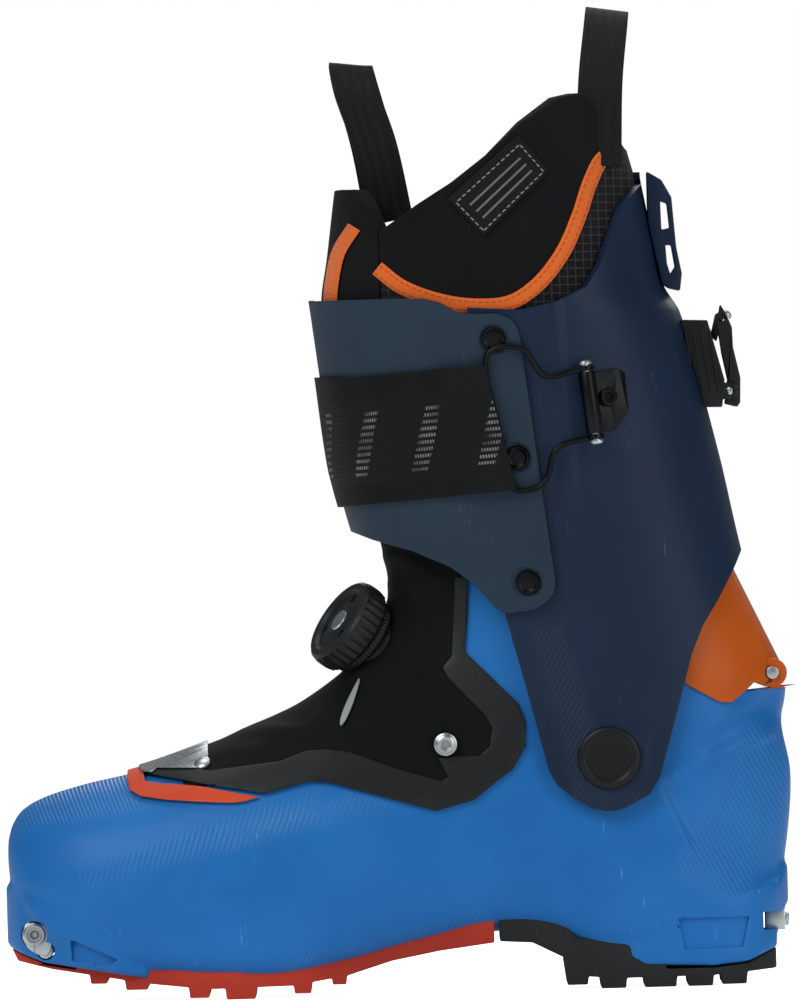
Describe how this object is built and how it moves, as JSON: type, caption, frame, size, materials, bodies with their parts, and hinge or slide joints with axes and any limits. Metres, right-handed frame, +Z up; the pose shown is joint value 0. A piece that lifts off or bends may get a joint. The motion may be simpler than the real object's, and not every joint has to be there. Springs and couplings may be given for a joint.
{
  "type": "alpine touring ski boot",
  "caption": "Alpine touring ski boot with a hinged cuff, a laced gaiter over the instep, a power strap with a wire bail, a ski and walk lever, and a soft liner.",
  "frame": {"origin": "on the ground below the ankle's axis, in the middle of the heel's second tread lug", "axes": "+X from the toe to the heel, +Y from the outer to the inner side of a left boot, +Z up"},
  "size_m": [0.291, 0.1197, 0.3626],
  "materials": {
    "shell_blue": "satin injection moulded",
    "cuff_navy": "satin injection moulded",
    "flap_slate": "satin injection moulded",
    "spine_orange": "satin",
    "trim_orange": "matt",
    "sole_red": "matt tread rubber",
    "sole_black": "matt tread rubber",
    "frame_black": "matt moulded",
    "black_fabric": "woven",
    "liner_foam": "foam with a textile face",
    "piping": "ribbed tape",
    "webbing": "twill webbing",
    "hardware_black": "satin black",
    "hardware_steel": "satin",
    "plastic_black": "satin",
    "board_grey": "matt",
    "tab_grey": "coated tape"
  },
  "bodies": {
    "shell": {"lower_shell": "shell_blue", "front_sole": "sole_red", "heel_sole": "sole_black", "toe_insert": "hardware_steel", "heel_insert": "hardware_steel", "heel_insert_screw": "hardware_steel", "boot_board": "board_grey", "liner_foot": "liner_foam", "foot_bed": "liner_foam", "gaiter_fabric": "black_fabric", "gaiter_frame_outer": "frame_black", "gaiter_frame_inner": "frame_black", "toe_trim": "trim_orange", "toe_plate": "hardware_steel", "dial_base": "plastic_black", "dial_bezel": "plastic_black", "dial_tab": "tab_grey", "spine_pin": "hardware_steel", "ankle_sleeve_outer": "hardware_steel", "ankle_bush_outer": "board_grey", "ankle_bolt_outer": "plastic_black", "lace_outer": "hardware_steel", "lace_screw_outer": "hardware_steel", "ankle_sleeve_inner": "hardware_steel", "ankle_bush_inner": "board_grey", "ankle_bolt_inner": "plastic_black", "lace_inner": "hardware_steel", "lace_screw_inner": "hardware_steel"},
    "cuff": {"rear_cuff": "cuff_navy", "front_flap": "flap_slate", "rear_spoiler": "cuff_navy", "flap_rivet_outer_1": "hardware_black", "flap_rivet_outer_2": "hardware_black", "flap_rivet_outer_3": "hardware_black", "flap_rivet_inner_1": "hardware_black", "flap_rivet_inner_2": "hardware_black", "flap_rivet_inner_3": "hardware_black", "hook_plate": "hardware_black", "hook_screw": "hardware_black", "hook_pin": "hardware_steel", "strap": "webbing", "strap_keeper": "hardware_black", "lever_housing": "plastic_black", "lever_pin": "hardware_steel", "liner_cuff": "liner_foam", "liner_tongue": "liner_foam", "liner_label": "black_fabric", "pull_loop_front": "webbing", "pull_loop_rear": "webbing", "piping_outer": "piping", "piping_inner": "piping"},
    "bail": {"bail": "hardware_black", "strap_end": "webbing"},
    "lever": {"lever": "plastic_black"},
    "latch": {"lever_latch": "plastic_black"},
    "lock": {"lock_bar": "hardware_steel"},
    "rear_spine": {"spine": "spine_orange"},
    "spindle": {"dial_spindle": "hardware_steel"},
    "knob": {"dial_knob": "plastic_black"}
  },
  "joints": [
    {"name": "cuff_tilt", "type": "hinge", "parent": "shell", "child": "cuff", "pos_m": [0, 0, 0.085], "axis": [0, 1, 0], "range_deg": [-11, 25]},
    {"name": "spine_tilt", "type": "hinge", "parent": "shell", "child": "rear_spine", "pos_m": [0.0613, 0, 0.1145], "axis": [0, 1, 0], "range_deg": [-19, 39]},
    {"name": "bail_swing", "type": "hinge", "parent": "cuff", "child": "bail", "pos_m": [-0.0033, -0.05425, 0.2159], "axis": [-0.1201, 0, 0.9928], "range_deg": [0, 20]},
    {"name": "lever_open", "type": "hinge", "parent": "cuff", "child": "lever", "pos_m": [0.0486, 0, 0.219], "axis": [0, 1, 0], "range_deg": [0, 75]},
    {"name": "latch_release", "type": "hinge", "parent": "lever", "child": "latch", "pos_m": [0.0462, 0, 0.246], "axis": [0, 1, 0], "range_deg": [0, 30]},
    {"name": "lock_slide", "type": "slide", "parent": "cuff", "child": "lock", "axis": [-0.2308, 0, 0.973], "range_m": [0, 0.005]},
    {"name": "dial_turn", "type": "hinge", "parent": "shell", "child": "spindle", "pos_m": [-0.0862, -0.009, 0.1295], "axis": [-0.7505, -0.3502, 0.5604], "continuous": true},
    {"name": "knob_pull", "type": "slide", "parent": "spindle", "child": "knob", "axis": [-0.7505, -0.3502, 0.5604], "range_m": [0, 0.003]}
  ],
  "couplings": [
    {"joint": "spine_tilt", "follows": "cuff_tilt", "ratio": 1.55},
    {"joint": "lock_slide", "follows": "lever_open", "m_per_rad": 0.0038}
  ]
}
